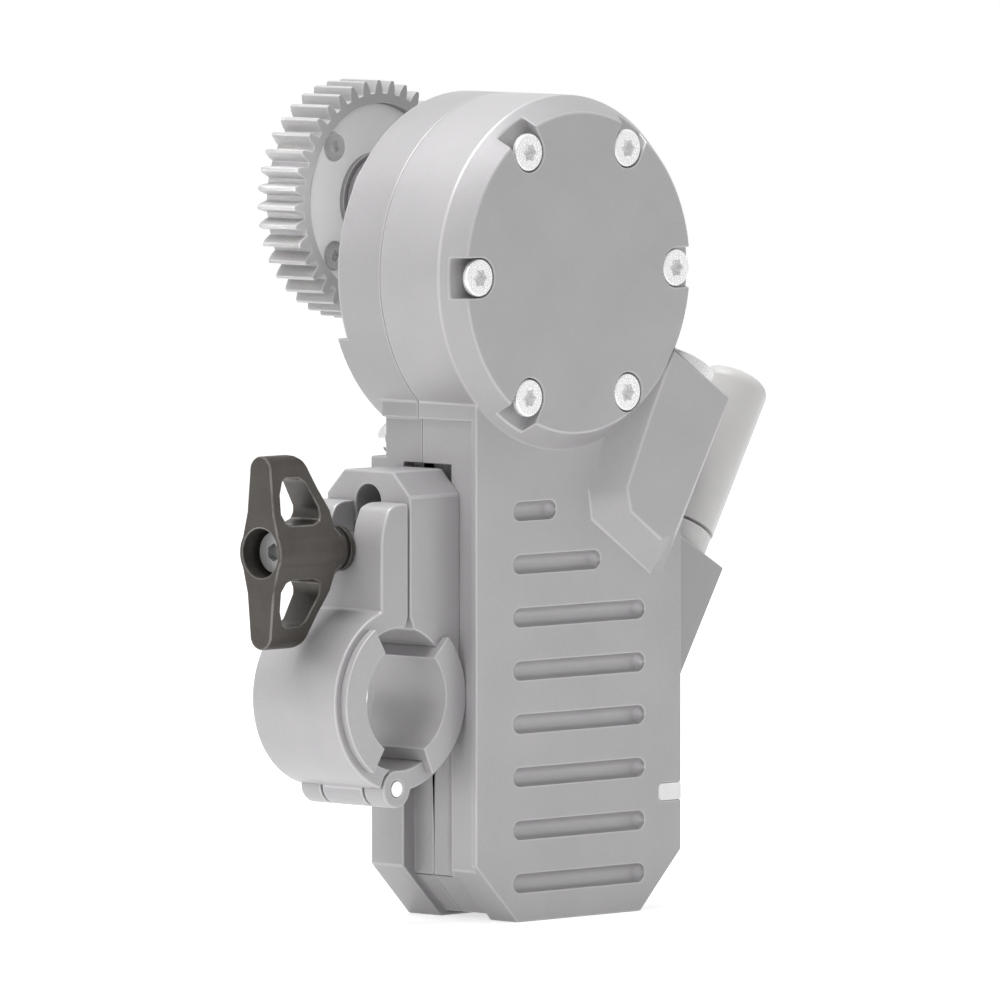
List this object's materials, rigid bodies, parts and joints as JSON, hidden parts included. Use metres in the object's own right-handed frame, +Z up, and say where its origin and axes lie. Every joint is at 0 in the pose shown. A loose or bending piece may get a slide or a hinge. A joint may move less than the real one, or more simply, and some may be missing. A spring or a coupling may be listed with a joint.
{
  "type": "follow focus lens motor",
  "caption": "Camera lens motor unit with a round geared head, a toothed drive gear, an antenna and a hinged rod clamp closed by a wing knob.",
  "frame": {"origin": "middle of the flat foot face of the housing", "axes": "+Z up from the foot to the round head, -Y out of the grooved front plate, +Y towards the drive gear, +X towards the antenna"},
  "size_m": [0.092, 0.0456, 0.1127],
  "materials": {
    "housing_alloy": "satin anodised, veiled grey",
    "clamp_alloy": "satin anodised, veiled grey",
    "liner_alloy": "satin anodised",
    "seal_rubber": "matte",
    "screw_steel": "bright",
    "rear_screw_steel": "bright",
    "neck_alloy": "black anodised",
    "window_plastic": "clear white",
    "board_green": "coated board",
    "chip_black": "matte",
    "socket_metal": "satin",
    "insert_black": "matte",
    "collar_plastic": "matte",
    "antenna_plastic": "satin",
    "can_steel": "satin",
    "rotor_copper": "wound copper",
    "gear_brass": "cut",
    "plate_alloy": "milled",
    "gear_steel": "cut",
    "shaft_steel": "ground",
    "race_steel": "ground",
    "hub_alloy": "black anodised",
    "disc_alloy": "satin",
    "gear_plastic": "matte moulded",
    "pin_steel": "bright",
    "bolt_steel": "satin",
    "stop_steel": "blackened",
    "washer_steel": "satin",
    "knob_alloy": "black anodised, worn bright at the edges"
  },
  "bodies": {
    "housing": {"front_shell": "housing_alloy", "rear_shell": "housing_alloy", "shell_seal": "seal_rubber", "cover_screws": "screw_steel", "rear_screws": "rear_screw_steel", "output_neck": "neck_alloy", "status_window": "window_plastic", "main_board": "board_green", "board_chips": "chip_black", "socket_rings": "socket_metal", "socket_inserts": "insert_black", "antenna_collar": "collar_plastic", "antenna_sleeve": "antenna_plastic", "motor_can": "can_steel", "gear_plate": "plate_alloy", "mid_gear_pin": "pin_steel", "bearing_outer_rings": "race_steel", "clamp_jaw": "clamp_alloy", "jaw_screws": "screw_steel", "hinge_pin": "pin_steel", "liner_jaw": "liner_alloy", "bolt_pin": "bolt_steel"},
    "rotor": {"motor_rotor": "rotor_copper", "motor_pinion": "gear_brass"},
    "idler": {"mid_gear": "gear_brass"},
    "output": {"output_wheel": "gear_steel", "output_shaft": "shaft_steel", "bearing_inner_rings": "race_steel", "bearing_balls": "race_steel", "gear_hub": "hub_alloy", "hub_disc": "disc_alloy", "hub_screws": "rear_screw_steel", "drive_gear": "gear_plastic", "shaft_screw": "rear_screw_steel"},
    "arm": {"clamp_arm": "clamp_alloy", "liner_arm": "liner_alloy"},
    "bolt": {"swing_bolt": "bolt_steel", "bolt_stop_screw": "stop_steel"},
    "washer": {"thrust_washer": "washer_steel"},
    "knob": {"wing_knob": "knob_alloy"}
  },
  "joints": [
    {"name": "drive_spin", "type": "hinge", "parent": "housing", "child": "output", "pos_m": [-0.00335, 0.028, 0.09632], "axis": [0, 1, 0], "continuous": true},
    {"name": "idler_spin", "type": "hinge", "parent": "housing", "child": "idler", "pos_m": [-0.00335, 0.002, 0.0877], "axis": [0, 1, 0], "continuous": true},
    {"name": "motor_spin", "type": "hinge", "parent": "housing", "child": "rotor", "pos_m": [-0.00335, -0.004, 0.07808], "axis": [0, 1, 0], "continuous": true},
    {"name": "bolt_swing", "type": "hinge", "parent": "housing", "child": "bolt", "pos_m": [-0.0235, 0.0014, 0.0513], "axis": [0, 1, 0], "range_deg": [0, 38]},
    {"name": "knob_travel", "type": "slide", "parent": "bolt", "child": "washer", "axis": [-1, 0, 0], "range_m": [0, 0.0024]},
    {"name": "knob_turn", "type": "hinge", "parent": "washer", "child": "knob", "pos_m": [-0.042, 0.0014, 0.0513], "axis": [-1, 0, 0], "range_deg": [0, 1080]},
    {"name": "arm_open", "type": "hinge", "parent": "housing", "child": "arm", "pos_m": [-0.03125, 0.0014, 0.01904], "axis": [0, -1, 0], "range_deg": [0, 4]}
  ],
  "couplings": [
    {"joint": "idler_spin", "follows": "drive_spin", "ratio": -2.0714},
    {"joint": "motor_spin", "follows": "drive_spin", "ratio": 6.2143},
    {"joint": "knob_travel", "follows": "knob_turn", "m_per_rad": 0.00012732},
    {"joint": "arm_open", "follows": "knob_turn", "ratio": 0.0037037}
  ]
}
